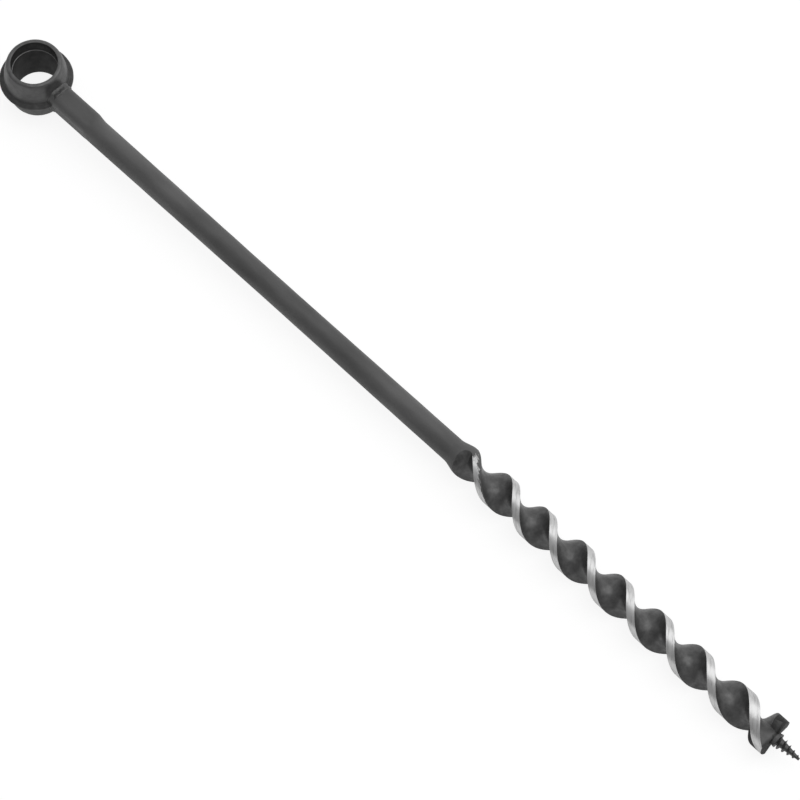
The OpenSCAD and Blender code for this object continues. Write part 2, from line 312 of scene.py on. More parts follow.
# Bare steel off the wheel: the one bright finish on the tool, with fine lines along each land.
ground_land_steel = ground_steel("ground_land_steel", "#B2B2B2", "#D8D8D8", smooth=0.3, rough=0.42)
print("made", ground_land_steel.name)

# %% [markdown]
# ## The eye
# The eye is a drop forging: two dies met round its middle and left a ring of flash, which was
# trimmed but not dressed off. The bore is slightly wider in its upper end. A ring like this is a
# solid of revolution, so its outline is drawn as a chain of points and spun round the bore. The
# outline is a row of arcs, each worked out from real radii.

# %% Outline of the eye
RIM_R = BORE_R + 2.7 * MM
BELLY_R = RIM_R + 2.6 * MM
RECESS_R = BORE_R + 0.4 * MM
RECESS_DEPTH = 8 * MM
LEDGE_FALL = 0.3 * MM
RIM_ROUND = 1.8 * MM
INNER_ROUND = 0.35 * MM
FLASH_HALF = 1.3 * MM
FLASH_FILLET = 1.4 * MM
FLASH_STEPS, FILLET_STEPS, BARREL_STEPS, RIM_STEPS, MOUTH_STEPS = 6, 5, 12, 6, 4
RECESS_SHARES = (0.3, 0.6, 0.9)
WALL_SHARES = (0.2, 0.4, 0.6, 0.8)
BARREL_ARC = (EYE_HALF ** 2 + (BELLY_R - RIM_R) ** 2) / (2 * (BELLY_R - RIM_R))
BARREL_CENTRE = BELLY_R - BARREL_ARC


def arc_points(centre, radius, start, stop, steps):
    """Points on an arc in the outline's plane, from one angle to another, in degrees."""
    angles = [math.radians(mix(start, stop, i / steps)) for i in range(steps + 1)]
    return [(centre[0] + radius * math.cos(a), centre[1] + radius * math.sin(a)) for a in angles]


def outer_outline():
    """Radius and height up the outside, from the tip of the flash to the top of the rim."""
    fillet_z = FLASH_HALF + FLASH_FILLET
    fillet_x = BARREL_CENTRE + math.sqrt((BARREL_ARC + FLASH_FILLET) ** 2 - fillet_z ** 2)
    fillet_angle = math.degrees(math.atan2(fillet_z, fillet_x - BARREL_CENTRE))
    round_z = EYE_HALF - RIM_ROUND
    round_x = BARREL_CENTRE + math.sqrt((BARREL_ARC - RIM_ROUND) ** 2 - round_z ** 2)
    round_angle = math.degrees(math.atan2(round_z, round_x - BARREL_CENTRE))
    points = arc_points((FLASH_R - FLASH_HALF, 0), FLASH_HALF, 0, 90, FLASH_STEPS)
    points += arc_points((fillet_x, fillet_z), FLASH_FILLET, 270, 180 + fillet_angle, FILLET_STEPS)
    points += arc_points((BARREL_CENTRE, 0), BARREL_ARC, fillet_angle, round_angle, BARREL_STEPS)[1:]
    points += arc_points((round_x, round_z), RIM_ROUND, round_angle, 90, RIM_STEPS)[1:]
    return points


def bore_outline():
    """Radius and height down the inside, over the rounded mouths and the ledge of the recess."""
    ledge = EYE_HALF - RECESS_DEPTH
    upper_mouth = (RECESS_R + INNER_ROUND, EYE_HALF - INNER_ROUND)
    lower_mouth = (BORE_R + INNER_ROUND, -EYE_HALF + INNER_ROUND)
    points = arc_points(upper_mouth, INNER_ROUND, 90, 180, MOUTH_STEPS)
    points += [(RECESS_R, mix(EYE_HALF, ledge, share)) for share in RECESS_SHARES]
    points += [(RECESS_R, ledge), (BORE_R, ledge - LEDGE_FALL)]
    points += [(BORE_R, mix(ledge, -EYE_HALF, share)) for share in WALL_SHARES]
    return points + arc_points(lower_mouth, INNER_ROUND, 180, 270, MOUTH_STEPS)


upper_outside = outer_outline()
lower_outside = [(r, -z) for r, z in reversed(upper_outside[1:])]
outline = upper_outside + bore_outline() + lower_outside
print("the eye's outline has", len(outline), "points")

# %% Spin the eye
EYE_STEPS = 180


def draw_chain(name, points):
    """Starts from a plane merged to one point, and extrudes that point along the outline."""
    deselect()
    bpy.ops.mesh.primitive_plane_add(size=MM, location=(points[0][0], 0, points[0][1]))
    piece = bpy.context.object
    piece.name = name
    bpy.ops.object.transform_apply(location=True, rotation=True, scale=True)
    bpy.ops.object.mode_set(mode="EDIT")
    bpy.ops.mesh.select_all(action="SELECT")
    bpy.ops.mesh.merge(type="CENTER")
    for before, after in zip(points, points[1:] + points[:1]):
        step = (after[0] - before[0], 0, after[1] - before[1])
        bpy.ops.mesh.extrude_region_move(TRANSFORM_OT_translate={"value": step})
    bpy.ops.mesh.select_all(action="SELECT")
    return piece


eye = draw_chain("forged_eye", outline)
bpy.ops.mesh.spin(steps=EYE_STEPS, angle=2 * math.pi, center=(0, 0, 0), axis=(0, 0, 1))
bpy.ops.mesh.select_all(action="SELECT")
bpy.ops.mesh.remove_doubles(threshold=TINY)
bpy.ops.mesh.normals_make_consistent(inside=False)
bpy.ops.object.mode_set(mode="OBJECT")
print("spun the eye:", len(eye.data.vertices), "points")

# %% [markdown]
# ### Marks of the forging
# No forging is a perfect solid of revolution. The wall dips where the bar was forged up to it, and
# the whole skin is a little uneven. Proportional editing pulls the dip as a thumb presses clay, and
# a Displace modifier with a soft cloud texture, kept off the bore by a vertex group, does the rest.

# %% Forge marks on the eye
DIP_PLACE = (17.2 * MM, -1.5 * MM, 10.5 * MM)
DIP_DEPTH = 1.1 * MM
DIP_REACH = 7 * MM
SKIN_CLOUD = 7 * MM
SKIN_DEPTH = 0.22 * MM
SKIN_FROM = RIM_R - 0.5 * MM

dip(eye, DIP_PLACE, (-DIP_DEPTH, 0, 0), DIP_REACH)
outside = eye.vertex_groups.new(name="outside")
outside_points = [v.index for v in eye.data.vertices if math.hypot(v.co.x, v.co.y) > SKIN_FROM]
outside.add(outside_points, 1.0, "REPLACE")
roughen(eye, SKIN_CLOUD, SKIN_DEPTH, vertex_group="outside")
print("uneven points on the eye:", len(outside_points))

# %% [markdown]
# ### Five steels on one forging
# The skin keeps its forged oxide. The other slots paint light and shade: painted shade in the bore, a duller
# sheared flash with painted shade in the groove beside it, a painted highlight on the ledge, and painted
# light on the flat rims. The borders are sharp, so a mask painted on the mesh would need more points than
# the shape does. Instead each finish gets a slot, and each face picks its slot by its place.

# %% Steels of the eye
# Forged scale under oil: a mottled grey with a soft shine.
forged_eye_steel = blackened_steel("forged_eye_steel", "#303030", "#565656", 0.44, cloud=6 * MM, ior=1.75)
# Painted shade for the deep bore: almost black, and dull.
painted_shade_bore_steel = blackened_steel("painted_shade_bore_steel", "#161616", "#262626", 0.5, cloud=5 * MM)
# Sheared, then scaled again: an even grey with little shine, and painted shade in the groove between barrel
# and flash.
sheared_flash_and_shade_steel = blackened_steel("sheared_flash_and_shade_steel", "#363636", "#505050", 0.5, cloud=4 * MM)
# Painted highlight on the ledge, where light from above falls: a light line round the bore.
painted_highlight_ledge_steel = blackened_steel("painted_highlight_ledge_steel", "#6A6A6A", "#8A8A8A", 0.4, cloud=5 * MM, ior=1.8)
# Painted light on the flat rims, which face straight up and down: a ring that is a little lighter than the
# skin.
painted_light_rim_steel = blackened_steel("painted_light_rim_steel", "#464646", "#626262", 0.42, cloud=4 * MM, ior=1.75)
WALL_TOUCH = 0.02 * MM
MOUTH = 0.3 * MM
FLASH_ROOT = 0.2 * MM
RIM_BAND = 0.5 * MM
RIM_FACING = 0.8


def eye_finish(face):
    """Slot of a face of the eye: 0 skin, 1 bore, 2 flash, 3 ledge, 4 rim."""
    radius = math.hypot(face.center.x, face.center.y)
    height = face.center.z
    if radius < RECESS_R + WALL_TOUCH and abs(height) < EYE_HALF - MOUTH:
        # the ledge gets the painted highlight, the rest of the bore the painted shade
        return 3 if 0 < EYE_HALF - RECESS_DEPTH - height < LEDGE_FALL else 1
    # the flash and its fillet: a duller sheared finish, and painted shade in the groove
    if radius > BELLY_R - FLASH_ROOT and abs(height) < FLASH_HALF + FLASH_FILLET:
        return 2
    # the flat rims get painted light
    if abs(face.normal.z) > RIM_FACING and abs(height) > EYE_HALF - RIM_BAND:
        return 4
    return 0


dress(eye, forged_eye_steel, painted_shade_bore_steel, sheared_flash_and_shade_steel, painted_highlight_ledge_steel, painted_light_rim_steel)
for face in eye.data.polygons:
    face.material_index = eye_finish(face)
finish_piece(eye, "eye", smooth_angle=40)

# %% [markdown]
# ## The bar
# The bar is round rolled steel. Its end at the eye was hammered square, and a soft shoulder is left
# where the hammering stopped. A cylinder could be squeezed at its end, but a section turns round
# more easily than square. So the bar is modelled from the eye: a square with round corners is
# extruded along the tool, the To Sphere operator turns it round over the length of the shoulder, and
# the round section goes on to the twist, scaled a little at each step.

# %% One section of the hammered bar
SQUARE_W = 14.3 * MM
SQUARE_CORNER = 4.4 * MM
SQUARE_SHIFT = 0.4 * MM
CORNER_STEPS = 12
FLAT_CUTS = 7


def edge_length(mesh, edge):
    first, second = edge.vertices
    return (mesh.vertices[first].co - mesh.vertices[second].co).length


def squared_section(name, x):
    """A closed chain in the shape of the hammered bar: a square with round corners, all edges."""
    deselect()
    bpy.ops.mesh.primitive_plane_add(size=SQUARE_W, location=(x, SQUARE_SHIFT, 0),
                                     rotation=(0, math.pi / 2, 0))
    piece = bpy.context.object
    piece.name = name
    bpy.ops.object.transform_apply(location=True, rotation=True, scale=True)
    bpy.ops.object.mode_set(mode="EDIT")
    bpy.ops.mesh.select_all(action="SELECT")
    bpy.ops.mesh.bevel(offset=SQUARE_CORNER, offset_type="OFFSET", segments=CORNER_STEPS,
                       affect="VERTICES", profile=0.5)
    bpy.ops.mesh.select_all(action="SELECT")
    bpy.ops.mesh.delete(type="ONLY_FACE")
    bpy.ops.object.mode_set(mode="OBJECT")
    for edge in piece.data.edges:
        edge.select = edge_length(piece.data, edge) > SQUARE_W / 4
    bpy.ops.object.mode_set(mode="EDIT")
    bpy.ops.mesh.select_mode(type="EDGE")
    bpy.ops.mesh.subdivide(number_cuts=FLAT_CUTS)
    bpy.ops.mesh.select_mode(type="VERT")
    bpy.ops.mesh.select_all(action="SELECT")
    return piece


def extrude_along_x(step):
    bpy.ops.mesh.extrude_region_move(TRANSFORM_OT_translate={"value": (step, 0, 0)})


def resize_ring(x, y, grow):
    """Scales the selected ring about a point of the tool's middle plane."""
    bpy.ops.transform.resize(value=(1, grow, grow), center_override=(x, y, 0))


# %% Radius of the bar
SQUARE_END = 44.5 * MM
SHOULDER_LEN = 6 * MM
WAIST_X = 190 * MM
D_BACK, D_WAIST, D_FOOT = 14.8 * MM, 14.0 * MM, 14.6 * MM


def bar_radius(x):
    """The bar is slightly waisted: forging drew it out most in its middle."""
    if x < WAIST_X:
        return mix(D_BACK, D_WAIST, (x - SQUARE_END) / (WAIST_X - SQUARE_END)) / 2
    return mix(D_WAIST, D_FOOT, (x - WAIST_X) / (TWIST_X - WAIST_X)) / 2


def ring_radius(piece, x):
    """Mean distance from the axis of the ring of points at x."""
    bpy.ops.object.mode_set(mode="OBJECT")
    ring = [math.hypot(v.co.y, v.co.z) for v in piece.data.vertices if abs(v.co.x - x) < TINY]
    bpy.ops.object.mode_set(mode="EDIT")
    return sum(ring) / len(ring)


print("bar radius at the waist", round(bar_radius(WAIST_X) / MM, 2), "mm")

# %% Extrude the squared end
BAR_START = 16.6 * MM
BAR_STEP = 3 * MM

bar = squared_section("round_bar", BAR_START)
bpy.ops.mesh.edge_face_add()
square_steps = round((SQUARE_END - BAR_START) / BAR_STEP)
for step in range(square_steps):
    extrude_along_x((SQUARE_END - BAR_START) / square_steps)
square_radius = ring_radius(bar, SQUARE_END)
select_points(bar, lambda co: co.x > SQUARE_END - TINY)
print("squared end in", square_steps, "steps, mean radius", round(square_radius / MM, 2), "mm")

# %% Turn it round over the shoulder
SHOULDER_STEPS = 8

for step in range(1, SHOULDER_STEPS + 1):
    share = ease(step / SHOULDER_STEPS)
    bar_x = SQUARE_END + SHOULDER_LEN * step / SHOULDER_STEPS
    extrude_along_x(SHOULDER_LEN / SHOULDER_STEPS)
    bpy.ops.transform.translate(value=(0, -SQUARE_SHIFT / SHOULDER_STEPS, 0))
    bpy.ops.transform.tosphere(value=share)
    grow = mix(square_radius, bar_radius(bar_x), share) / ring_radius(bar, bar_x)
    select_points(bar, lambda co: co.x > bar_x - TINY)
    resize_ring(bar_x, 0, grow)
print("the bar is round from", round(bar_x / MM, 1), "mm")

# %% Extrude the round bar
BAR_CLOUD = 16 * MM
BAR_UNEVEN = 0.14 * MM
# Rolled scale, oiled: an even satin grey, with faint clouds that the rolls drew out along the bar.
blackened_bar_steel = blackened_steel("blackened_bar_steel", "#4E4E4E", "#666666", 0.44, cloud=12 * MM,
                                      ior=1.54, stretch=(0.35, 1, 1))

round_steps = round((TWIST_X - bar_x) / BAR_STEP)
round_step = (TWIST_X - bar_x) / round_steps
for step in range(round_steps):
    grow = bar_radius(bar_x + round_step) / bar_radius(bar_x)
    bar_x += round_step
    extrude_along_x(round_step)
    resize_ring(bar_x, 0, grow)
bpy.ops.mesh.edge_face_add()
bpy.ops.mesh.select_all(action="SELECT")
bpy.ops.mesh.normals_make_consistent(inside=False)
bpy.ops.object.mode_set(mode="OBJECT")
roughen(bar, BAR_CLOUD, BAR_UNEVEN)
dress(bar, blackened_bar_steel)
finish_piece(bar, "shank", smooth_angle=35)

# %% [markdown]
# ## The weld
# Two runs of weld go round the squared end, where it meets the eye. Each is a row of overlapping
# pools, so it stands up as a low ridge that swells and sinks. The collar starts as the same squared
# section, and its rings are swelled by different amounts to make the two ridges. Where the bead
# ran out on the near side it was dressed down, so the surface is pulled in there. The pools are
# drawn by the same Displace modifier, with clouds as small as a pool.

# %% Lay the weld bead
BEAD_X = (16.3 * MM, 17.1 * MM, 17.7 * MM, 18.5 * MM, 19.4 * MM, 20.2 * MM, 20.9 * MM, 21.5 * MM)
BEAD_RISE = (0.5 * MM, 0.75 * MM, 0.6 * MM, 0.4 * MM, 0.4 * MM, 0.55 * MM, 0.55 * MM, 0.0 * MM)

bead = squared_section("weld_bead", BEAD_X[0])
for before, after in zip(BEAD_X, BEAD_X[1:]):
    extrude_along_x(after - before)
bpy.ops.mesh.edge_face_add()
for x, rise in zip(BEAD_X, BEAD_RISE):
    select_points(bead, lambda co: abs(co.x - x) < TINY)
    resize_ring(x, SQUARE_SHIFT, 1 + rise / (SQUARE_W / 2))
select_points(bead, lambda co: abs(co.x - BEAD_X[0]) < TINY)
bpy.ops.mesh.edge_face_add()
bpy.ops.mesh.select_all(action="SELECT")
bpy.ops.mesh.normals_make_consistent(inside=False)
bpy.ops.object.mode_set(mode="OBJECT")
print("two ridges,", round(max(BEAD_RISE) / MM, 2), "mm high at most")

# %% Draw the pools and dress the end of the bead
POOL = 1.3 * MM
POOL_DEPTH = 0.35 * MM
BEAD_END = (19 * MM, -8.2 * MM, 6 * MM)
BEAD_END_MOVE = (0, 0.7 * MM, -0.5 * MM)
BEAD_END_REACH = 7 * MM
# Weld metal that scaled as it cooled: darker than the bar, with a small glint on each pool.
weld_bead_steel = blackened_steel("weld_bead_steel", "#3A3A3A", "#4C4C4C", 0.4, cloud=2 * MM, ior=1.75)

modify(bead, "SUBSURF", levels=1, render_levels=1, subdivision_type="SIMPLE")
roughen(bead, POOL, POOL_DEPTH)
dip(bead, BEAD_END, BEAD_END_MOVE, BEAD_END_REACH)
dress(bead, weld_bead_steel)
finish_piece(bead, "eye_weld", smooth_angle=50)

# %% [markdown]
# ## The twist
# The twist was made from a bar of flat section, twisted hot. Each cut across it shows the same
# shape: a narrow waist, the web, with a wide end on each side, the lands. Only the angle and the
# size of the cut change along the tool. So one formula gives the ring of points of a cut, and one
# function skins a row of such rings. No primitive or operator gives this shape, and the formula is
# also how a maker would check it, with a gauge held across the twist.

# %% Skin a row of rings


def skin_rings(name, rings, finish=lambda i, k: 0):
    """A closed mesh over rings of points. finish gives a face's material slot by ring and place."""
    count = len(rings[0])
    points = [p for ring in rings for p in ring]
    faces = []
    marks = []
    for i in range(len(rings) - 1):
        for k in range(count):
            n = (k + 1) % count
            faces.append((i * count + k, i * count + n, (i + 1) * count + n, (i + 1) * count + k))
            marks.append(finish(i, k))
    faces.append(tuple(reversed(range(count))))
    faces.append(tuple(range((len(rings) - 1) * count, len(rings) * count)))
    marks += [0, 0]
    mesh = bpy.data.meshes.new(name)
    mesh.from_pydata(points, [], faces)
    mesh.polygons.foreach_set("material_index", marks)
    mesh.update()
    piece = bpy.data.objects.new(name, mesh)
    bpy.context.collection.objects.link(piece)
    return piece


# %% [markdown]
# ### How the twist turns
# The lead, the length of one full turn, grows from 53.8 mm at the bar to 60.4 mm at the head,
# because hot steel twists unevenly. The first part turns faster, where the twist was started, and
# the last part lags where it swells into the head.

# %% Angle of the twist
TWIST_LEN = HEAD_X - TWIST_X
LEAD_FOOT = 53.8 * MM
LEAD_HEAD = 60.4 * MM
FOOT_ANGLE, FOOT_ADVANCE, HEAD_LAG = 136, 20, 8
SETTLE = 0.8
SWELL_LEN = 25 * MM


def swell(u):
    """How far the twist has swelled towards the head, from 0 to 1."""
    return ease((u - TWIST_LEN + SWELL_LEN) / SWELL_LEN)


def twist_angle(u):
    """Angle of the first land about the tool, in degrees, at u metres along the twist."""
    turns = u / LEAD_FOOT + u * u * (1 / LEAD_HEAD - 1 / LEAD_FOOT) / (2 * TWIST_LEN)
    start = FOOT_ANGLE + FOOT_ADVANCE * (1 - ease(u / LEAD_FOOT / SETTLE))
    return start - HEAD_LAG * swell(u) + 360 * turns


print("the twist turns", round((twist_angle(TWIST_LEN) - twist_angle(0)) / 360, 2), "times")

# %% One cut across the twist
LAND_STEPS, FLUTE_STEPS = 16, 40
WIDEST_LAND = 30


def on_circle(r, angle):
    return (r * math.cos(math.radians(angle)), r * math.sin(math.radians(angle)))


def turned_twice(x, half, angle):
    """Half a ring and its copy on the other side of the axis, turned by an angle and set at x."""
    c, s = on_circle(1, angle)
    both = half + [(-y, -z) for y, z in half]
    return [(x, y * c - z * s, y * s + z * c) for y, z in both]


def fluted_ring(x, r, edge, mid, angle):
    """Points of one cut: r is the lands' radius, edge half a land's width, mid half the web."""
    corner = min(math.degrees(math.asin(min(1, edge / r))), WIDEST_LAND)
    reach = on_circle(r, corner)[0]
    half = [on_circle(r, mix(-corner, corner, k / LAND_STEPS)) for k in range(LAND_STEPS)]
    for k in range(FLUTE_STEPS):
        share = 1 - 2 * k / FLUTE_STEPS
        along = reach * share
        half.append((along, min(math.sqrt(r * r - along * along), mid + (edge - mid) * share * share)))
    return turned_twice(x, half, angle)


# %% [markdown]
# ### From round bar to flutes
# The bar flares out to a round foot, and the lands rise slowly from it to their full diameter. The
# flutes are cut into that full round, steeply, so each starts with the clear D of a tool that was
# driven into a round bar. The rings lie closer together there, because the form changes quickly.

# %% Rings of the twist
D_SHOULDER = 18.2 * MM
D_TWIST = 20.5 * MM
D_SWELL = 21.3 * MM
WEB_T = 6.2 * MM
LAND_W = 6.6 * MM
SWELL_LAND_W = 8.4 * MM
FLARE_LEN = 9.5 * MM
LAND_RISE = 30 * MM
FLUTE_START = 6.2 * MM
FLUTE_RUNOUT = 6 * MM
FLUTE_POWER = 1.5
FINE_LEN, FINE_STEP, COARSE_STEP = 40 * MM, 0.3 * MM, 0.75 * MM


def twist_d(u):
    """Diameter over the lands, or of the round foot, at u metres along the twist."""
    d = mix(D_FOOT, D_SHOULDER, ease(u / FLARE_LEN))
    d += (D_TWIST - D_SHOULDER) * ease((u - FLARE_LEN / 2) / LAND_RISE)
    return d + (D_SWELL - D_TWIST) * swell(u)


def twist_ring(u):
    full = twist_d(u) / 2
    left = 1 - min(1, max(0, (u - FLUTE_START) / FLUTE_RUNOUT))
    cut = 1 - left ** FLUTE_POWER
    edge = mix(full, mix(LAND_W, SWELL_LAND_W, swell(u)) / 2, cut)
    return fluted_ring(TWIST_X + u, full, edge, mix(full, WEB_T / 2, cut), twist_angle(u))


twist_places = [i * FINE_STEP for i in range(round(FINE_LEN / FINE_STEP))]
coarse_steps = round((TWIST_LEN - FINE_LEN) / COARSE_STEP)
twist_places += [mix(FINE_LEN, TWIST_LEN, i / coarse_steps) for i in range(coarse_steps + 1)]
print("the twist has", len(twist_places), "rings")

# %% [markdown]
# ### Where the wheel touched
# The grinding wheel was set to one diameter, and forged lands aren't even, so at the foot it missed
# part of each. The bright steel starts a little way in with a ragged edge, covers a strip of the
# land, and widens to all of it. Each face picks its slot by that rule. What no tool touched keeps
# the bar's scale. In the flutes chips have polished the oxide almost to the metal.

# %% Finish of the twist
GROUND_FROM = 13.8 * MM
RAGGED_LEN = 1.8 * MM
MISSED_UNTIL = 44 * MM
MISSED_SHARE = 0.46
RAGGED_SHARE = 0.6
RAGGED_WAVES = ((2.9, 1.7), (5.3, -2.3), (1.1, 0))
UNCUT_SKIN = 0.12 * MM


def ragged(u, place):
    """A wavy value from -1 to 1 that stands for the uneven skin the grinding wheel met."""
    waves = [math.sin(u / MM * along + place * across) for along, across in RAGGED_WAVES]
    return sum(waves) / len(waves)


def twist_finish(i, k):
    """Slot of a face: 1 where the wheel ground it, else 0."""
    place = k % (LAND_STEPS + FLUTE_STEPS)
    u = twist_places[i]
    if place >= LAND_STEPS or u < GROUND_FROM + RAGGED_LEN * ragged(place * MM, u / MM):
        return 0
    missed = MISSED_SHARE * (1 - ease((u - GROUND_FROM) / (MISSED_UNTIL - GROUND_FROM)))
    return 1 if (place + 0.5) / LAND_STEPS > missed * (1 + RAGGED_SHARE * ragged(u, place)) else 0


def is_uncut(face):
    """Whether a face still lies on the full round that the flutes were cut into."""
    full = twist_d(face.center.x - TWIST_X) / 2
    return math.hypot(face.center.y, face.center.z) > full - UNCUT_SKIN


# %% Skin the twist
# Thin oxide on polished steel: part metallic, so it reflects the studio darkly but clearly.
blackened_flute_steel = blackened_steel("blackened_flute_steel", "#525252", "#6A6A6A", 0.34, cloud=3 * MM,
                                        metallic=0.6)
twist = skin_rings("double_twist", [twist_ring(u) for u in twist_places], twist_finish)
dress(twist, blackened_flute_steel, ground_land_steel, blackened_bar_steel)
for face in twist.data.polygons:
    if face.material_index == 0 and is_uncut(face):
        face.material_index = 2
finish_piece(twist, "twist", smooth_angle=32)

# %% [markdown]
# ## The cutting head
# The last turn was forged wider, and each land swept ahead of itself into a wing, with an ear that
# steps out near its end. A cut across the head shows three lengths on each side: the land, the
# swept part ahead of it, and two flanks that run down to the web. The rings are made and skinned
# as on the twist. The land and the swept part have points of their own, so that the border between
# bright and dark steel is a clean line.

# %% One cut across the wings
WING_LEN = 14.4 * MM
WING_RISE = 6.6 * MM
EAR_START = 7.2 * MM
EAR_RISE = 1.2 * MM
EAR_END = EAR_START + EAR_RISE
WING_SWEEP, EAR_SWEEP, LIP_SWEEP = 32, 44, 25
D_HEAD = 22.4 * MM
FOOT_LEAST, FOOT_LEAD, FOOT_TRAIL = 0.25 * MM, 1.4 * MM, 2.6 * MM
WING_LAND_STEPS, SWEEP_STEPS, FLANK_STEPS = 12, 14, 16
LIP_X = HEAD_X + WING_LEN


def wing_ahead(u):
    """How far a land reaches ahead, in degrees: it grows, steps out into the ear and fades."""
    grown = WING_SWEEP * ease(u / WING_RISE) + EAR_SWEEP * ease((u - EAR_START) / EAR_RISE)
    return mix(grown, LIP_SWEEP, min(1, max(0, (u - EAR_END) / (WING_LEN - EAR_END))))


def wing_radius(u):
    return mix(D_SWELL, D_HEAD, ease(u / WING_RISE)) / 2


def wing_land(u):
    """Half the angle of the land without its wing."""
    return math.degrees(math.asin(SWELL_LAND_W / 2 / wing_radius(u)))


def lead_corner(u):
    return on_circle(wing_radius(u), wing_land(u) + wing_ahead(u))


def lead_foot(u):
    return (mix(FOOT_LEAST, FOOT_LEAD, ease(u / WING_RISE)), WEB_T / 2)


def trail_corner(u):
    return on_circle(wing_radius(u), 180 - wing_land(u))


def trail_foot(u):
    return (-mix(FOOT_LEAST, FOOT_TRAIL, ease(u / WING_RISE)), WEB_T / 2)


def flank(foot, corner, share, power):
    """A point part of the way up a flank, which is hollow at first and straight later."""
    return (mix(foot[0], corner[0], share), mix(foot[1], corner[1], share ** power))


def wing_ring(u):
    power = 2 - ease(u / WING_RISE)
    land, ahead = wing_land(u), wing_ahead(u)
    angles = [mix(-land, land, k / WING_LAND_STEPS) for k in range(WING_LAND_STEPS)]
    angles += [land + ahead * k / SWEEP_STEPS for k in range(SWEEP_STEPS)]
    half = [on_circle(wing_radius(u), angle) for angle in angles]
    half += [flank(lead_foot(u), lead_corner(u), 1 - k / FLANK_STEPS, power) for k in range(FLANK_STEPS + 1)]
    half += [flank(trail_foot(u), trail_corner(u), k / FLANK_STEPS, power) for k in range(FLANK_STEPS)]
    return turned_twice(HEAD_X + u, half, twist_angle(TWIST_LEN + u))


print("the lips stand at", round(LIP_X / MM, 1), "mm")

# %% [markdown]
# ### Steels of the head
# The head has the lands' bright steel, filed faces, and scale that no file touched. The filed steel is
# painted darker on the final millimetres behind the lips, as painted shade, and the filed end faces get the
# dark scale steel as painted shade too. This painted shade has no sharp border, so faces can't draw it. Two
# Map Range nodes on the place along the tool fade it in and out, and a Mix node lays it over the material's
# own colour.

# %% Steels of the head
# Filed, then blackened: an even grey, lighter than the forged skin and with less shine.
filed_head_steel = blackened_steel("filed_head_steel", "#5A5A5A", "#707070", 0.45, cloud=4 * MM)
# Raw scale without oil on the swept parts, and painted shade on the filed end faces: matt black, hence the
# low IOR.
tip_scale_and_shade_steel = blackened_steel("tip_scale_and_shade_steel", "#222222", "#363636", 0.6, cloud=3 * MM, ior=1.35)
LIP_SHADE_START = LIP_X - 2.4 * MM
LIP_SHADE_FULL = LIP_X - 1.2 * MM
LIP_SHADE_FADE = LIP_X - 0.4 * MM


def paint_shade_near_lips(material, colour):
    """Mixes a colour over a material's own where the head comes near its lips, as painted shade."""
    tree = material.node_tree
    base = tree.nodes["Principled BSDF"].inputs["Base Color"]
    own = base.links[0].from_socket
    place = add_node(tree, "ShaderNodeTexCoord").outputs["Object"]
    along = add_node(tree, "ShaderNodeSeparateXYZ", links={"Vector": place}).outputs["X"]
    near = add_node(tree, "ShaderNodeMapRange", inputs={"From Min": LIP_SHADE_START, "From Max": LIP_SHADE_FULL},
                    links={"Value": along})
    behind = add_node(tree, "ShaderNodeMapRange",
                      inputs={"From Min": LIP_SHADE_FADE, "From Max": LIP_X, "To Min": 1, "To Max": 0},
                      links={"Value": along})
    share = add_node(tree, "ShaderNodeMath", {"operation": "MULTIPLY"},
                     links={0: near.outputs["Result"], 1: behind.outputs["Result"]})
    lip_shaded = add_node(tree, "ShaderNodeMix", {"data_type": "RGBA"}, {SECOND_COLOUR: linear(colour)},
                       {"Factor": share.outputs[0], FIRST_COLOUR: own})
    tree.links.new(lip_shaded.outputs[MIXED_COLOUR], base)


# Painted shade: a dark grey over the filed steel just behind the lips.
paint_shade_near_lips(filed_head_steel, "#363636")
print("the painted shade starts at", round(LIP_SHADE_START / MM, 1), "mm")

# %% Skin the wings
RISE_RINGS, EAR_RINGS, TIP_RINGS = 18, 8, 16

wing_places = [EAR_START * i / RISE_RINGS for i in range(RISE_RINGS)]
wing_places += [EAR_START + EAR_RISE * i / EAR_RINGS for i in range(EAR_RINGS)]
wing_places += [mix(EAR_END, WING_LEN, i / TIP_RINGS) for i in range(TIP_RINGS + 1)]


def wing_finish(i, k):
    """Slot of a face: 1 for the ground land, 2 for the swept part, which keeps its scale, else 0."""
    place = k % (WING_LAND_STEPS + SWEEP_STEPS + 2 * FLANK_STEPS + 1)
    if place < WING_LAND_STEPS:
        return 1
    return 2 if place < WING_LAND_STEPS + SWEEP_STEPS else 0


wings = skin_rings("cutting_wings", [wing_ring(u) for u in wing_places], wing_finish)
dress(wings, filed_head_steel, ground_land_steel, tip_scale_and_shade_steel)
print("wings", len(wings.data.polygons), "faces")

# %% [markdown]
# ### Filing the lips
# Two files shaped each wing: one gave its face a sloping relief, so that the lip cuts first, and
# one a bevel behind the lip. The files are modelled as slabs that Boolean modifiers take away.
# Booleans lose precision on very small numbers, so this piece is held in millimetres and scaled
# down at its end. Each cut is followed by a merge of points that lie too close together.

# %% Prepare the files
MERGE_IN_MM = 0.02
SLIVER_IN_MM = 0.005

wings.data.transform(Matrix.Scale(1 / MM, 4))
wings.scale = (MM, MM, MM)


def shift(x, y, z):
    return Matrix.Translation((x, y, z))


def turn_about(axis, angle):
    return Matrix.Rotation(angle, 4, axis)


